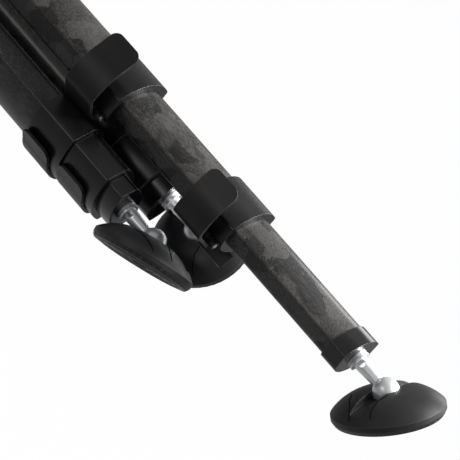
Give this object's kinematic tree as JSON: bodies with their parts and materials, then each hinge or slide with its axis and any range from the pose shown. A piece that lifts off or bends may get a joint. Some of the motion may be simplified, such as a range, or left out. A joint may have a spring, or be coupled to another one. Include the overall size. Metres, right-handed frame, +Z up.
{
  "type": "video tripod",
  "caption": "Folded black carbon-fibre video tripod lying on its side, with two-stage D-tube legs, flip-lever locks and swivelling rubber feet",
  "frame": {"origin": "middle of the flat head face, where the head stud stands", "axes": "+X along the folded tripod from the head to the feet, +Z up, out through leg A, which lies on top of the other two, +Y across the bundle towards leg C"},
  "size_m": [0.847, 0.1208, 0.1081],
  "materials": {
    "carbon": "satin",
    "cast_black": "satin",
    "collar_black": "satin",
    "lever_black": "matte",
    "lever_grey": "satin",
    "cap_black": "satin",
    "plastic_black": "matte",
    "bush_plastic": "matte",
    "bright_aluminium": "satin",
    "satin_aluminium": "satin",
    "steel": "satin",
    "foot_rubber": "matte",
    "level_green": "gloss"
  },
  "bodies": {
    "apex": {"apex_casting": "cast_black", "bubble_level": "level_green", "leg_a_hinge_bolt": "steel", "leg_b_hinge_bolt": "steel", "leg_c_hinge_bolt": "steel"},
    "leveller": {"leveller_ball": "satin_aluminium", "head_stud": "steel", "tie_down_stem": "steel"},
    "tie_down": {"tie_down_handle": "plastic_black"},
    "leg_a_leg": {"leg_a_top": "cast_black", "leg_a_upper_tube": "carbon", "leg_a_upper_collar": "collar_black", "leg_a_upper_lock_pin": "bright_aluminium"},
    "leg_a_catch": {"leg_a_angle_catch": "plastic_black"},
    "leg_a_flip_upper": {"leg_a_upper_lever": "lever_black"},
    "leg_a_middle": {"leg_a_middle_tube": "carbon", "leg_a_middle_bush": "bush_plastic", "leg_a_lower_collar": "collar_black", "leg_a_lower_lock_pin": "bright_aluminium"},
    "leg_a_flip_lower": {"leg_a_lower_lever": "lever_grey"},
    "leg_a_lower": {"leg_a_lower_tube": "carbon", "leg_a_lower_bush": "bush_plastic", "leg_a_end_cap": "cap_black"},
    "leg_a_pin": {"leg_a_ball_pin": "bright_aluminium"},
    "leg_a_foot": {"leg_a_foot_socket": "plastic_black", "leg_a_foot_pad": "foot_rubber"},
    "leg_b_leg": {"leg_b_top": "cast_black", "leg_b_upper_tube": "carbon", "leg_b_upper_collar": "collar_black", "leg_b_upper_lock_pin": "bright_aluminium"},
    "leg_b_catch": {"leg_b_angle_catch": "plastic_black"},
    "leg_b_flip_upper": {"leg_b_upper_lever": "lever_black"},
    "leg_b_middle": {"leg_b_middle_tube": "carbon", "leg_b_middle_bush": "bush_plastic", "leg_b_lower_collar": "collar_black", "leg_b_lower_lock_pin": "bright_aluminium"},
    "leg_b_flip_lower": {"leg_b_lower_lever": "lever_grey"},
    "leg_b_lower": {"leg_b_lower_tube": "carbon", "leg_b_lower_bush": "bush_plastic", "leg_b_end_cap": "cap_black"},
    "leg_b_pin": {"leg_b_ball_pin": "bright_aluminium"},
    "leg_b_foot": {"leg_b_foot_socket": "plastic_black", "leg_b_foot_pad": "foot_rubber"},
    "leg_c_leg": {"leg_c_top": "cast_black", "leg_c_upper_tube": "carbon", "leg_c_upper_collar": "collar_black", "leg_c_upper_lock_pin": "bright_aluminium"},
    "leg_c_catch": {"leg_c_angle_catch": "plastic_black"},
    "leg_c_flip_upper": {"leg_c_upper_lever": "lever_black"},
    "leg_c_middle": {"leg_c_middle_tube": "carbon", "leg_c_middle_bush": "bush_plastic", "leg_c_lower_collar": "collar_black", "leg_c_lower_lock_pin": "bright_aluminium"},
    "leg_c_flip_lower": {"leg_c_lower_lever": "lever_grey"},
    "leg_c_lower": {"leg_c_lower_tube": "carbon", "leg_c_lower_bush": "bush_plastic", "leg_c_end_cap": "cap_black"},
    "leg_c_pin": {"leg_c_ball_pin": "bright_aluminium"},
    "leg_c_foot": {"leg_c_foot_socket": "plastic_black", "leg_c_foot_pad": "foot_rubber"}
  },
  "joints": [
    {"name": "leveller_tilt", "type": "hinge", "parent": "apex", "child": "leveller", "pos_m": [0.012, 0, 0], "axis": [0, 1, 0], "range_deg": [-6, 6]},
    {"name": "tie_down_spin", "type": "hinge", "parent": "leveller", "child": "tie_down", "pos_m": [0.07, 0, 0], "axis": [1, 0, 0], "continuous": true},
    {"name": "leg_a_spread", "type": "hinge", "parent": "apex", "child": "leg_a_leg", "pos_m": [0.058, 0, 0.042], "axis": [0, -1, 0], "range_deg": [0, 66]},
    {"name": "leg_a_catch_turn", "type": "hinge", "parent": "leg_a_leg", "child": "leg_a_catch", "pos_m": [0.08462, 0, 0.04864], "axis": [0, 1, 0], "range_deg": [-5, 12]},
    {"name": "leg_a_upper_lever_turn", "type": "hinge", "parent": "leg_a_leg", "child": "leg_a_flip_upper", "pos_m": [0.573, -0.022, 0.01537], "axis": [1, 0, 0], "range_deg": [-40, 40]},
    {"name": "leg_a_middle_slide", "type": "slide", "parent": "leg_a_leg", "child": "leg_a_middle", "axis": [1, 0, 0], "range_m": [-0.0686, 0.3154]},
    {"name": "leg_a_lower_lever_turn", "type": "hinge", "parent": "leg_a_middle", "child": "leg_a_flip_lower", "pos_m": [0.6707, -0.0189, 0.01512], "axis": [1, 0, 0], "range_deg": [-57, 23]},
    {"name": "leg_a_lower_slide", "type": "slide", "parent": "leg_a_middle", "child": "leg_a_lower", "axis": [1, 0, 0], "range_m": [-0.0799, 0.3151]},
    {"name": "leg_a_foot_swivel", "type": "hinge", "parent": "leg_a_lower", "child": "leg_a_pin", "pos_m": [0.7793, 0, 0.024], "axis": [1, 0, 0], "range_deg": [-30, 30]},
    {"name": "leg_a_foot_tilt", "type": "hinge", "parent": "leg_a_pin", "child": "leg_a_foot", "pos_m": [0.8038, 0, 0.024], "axis": [0, 0.9829, 0.184], "range_deg": [-100, 7]},
    {"name": "leg_b_spread", "type": "hinge", "parent": "apex", "child": "leg_b_leg", "pos_m": [0.058, -0.03637, -0.021], "axis": [0, 0.5, -0.866], "range_deg": [0, 66]},
    {"name": "leg_b_catch_turn", "type": "hinge", "parent": "leg_b_leg", "child": "leg_b_catch", "pos_m": [0.08462, -0.04212, -0.02432], "axis": [0, -0.5, 0.866], "range_deg": [-5, 12]},
    {"name": "leg_b_upper_lever_turn", "type": "hinge", "parent": "leg_b_leg", "child": "leg_b_flip_upper", "pos_m": [0.573, -0.00231, -0.02674], "axis": [1, 0, 0], "range_deg": [0, 80]},
    {"name": "leg_b_middle_slide", "type": "slide", "parent": "leg_b_leg", "child": "leg_b_middle", "axis": [1, 0, 0], "range_m": [0, 0.13]},
    {"name": "leg_b_lower_lever_turn", "type": "hinge", "parent": "leg_b_middle", "child": "leg_b_flip_lower", "pos_m": [0.6021, -0.00365, -0.02393], "axis": [1, 0, 0], "range_deg": [0, 80]},
    {"name": "leg_b_lower_slide", "type": "slide", "parent": "leg_b_middle", "child": "leg_b_lower", "axis": [1, 0, 0], "range_m": [0, 0.13]},
    {"name": "leg_b_foot_swivel", "type": "hinge", "parent": "leg_b_lower", "child": "leg_b_pin", "pos_m": [0.6308, -0.02078, -0.012], "axis": [1, 0, 0], "range_deg": [-20, 6]},
    {"name": "leg_b_foot_tilt", "type": "hinge", "parent": "leg_b_pin", "child": "leg_b_foot", "pos_m": [0.6553, -0.02078, -0.012], "axis": [0, -0.848, 0.5299], "range_deg": [0, 36]},
    {"name": "leg_c_spread", "type": "hinge", "parent": "apex", "child": "leg_c_leg", "pos_m": [0.058, 0.03637, -0.021], "axis": [0, 0.5, 0.866], "range_deg": [0, 66]},
    {"name": "leg_c_catch_turn", "type": "hinge", "parent": "leg_c_leg", "child": "leg_c_catch", "pos_m": [0.08462, 0.04212, -0.02432], "axis": [0, -0.5, -0.866], "range_deg": [-5, 12]},
    {"name": "leg_c_upper_lever_turn", "type": "hinge", "parent": "leg_c_leg", "child": "leg_c_flip_upper", "pos_m": [0.573, 0.02431, 0.01137], "axis": [1, 0, 0], "range_deg": [0, 80]},
    {"name": "leg_c_middle_slide", "type": "slide", "parent": "leg_c_leg", "child": "leg_c_middle", "axis": [1, 0, 0], "range_m": [0, 0.13]},
    {"name": "leg_c_lower_lever_turn", "type": "hinge", "parent": "leg_c_middle", "child": "leg_c_flip_lower", "pos_m": [0.6021, 0.02255, 0.00881], "axis": [1, 0, 0], "range_deg": [0, 80]},
    {"name": "leg_c_lower_slide", "type": "slide", "parent": "leg_c_middle", "child": "leg_c_lower", "axis": [1, 0, 0], "range_m": [0, 0.13]},
    {"name": "leg_c_foot_swivel", "type": "hinge", "parent": "leg_c_lower", "child": "leg_c_pin", "pos_m": [0.6308, 0.02078, -0.012], "axis": [1, 0, 0], "range_deg": [-8, 20]},
    {"name": "leg_c_foot_tilt", "type": "hinge", "parent": "leg_c_pin", "child": "leg_c_foot", "pos_m": [0.6553, 0.02078, -0.012], "axis": [0, -0.6293, -0.7771], "range_deg": [-1, 27]}
  ]
}
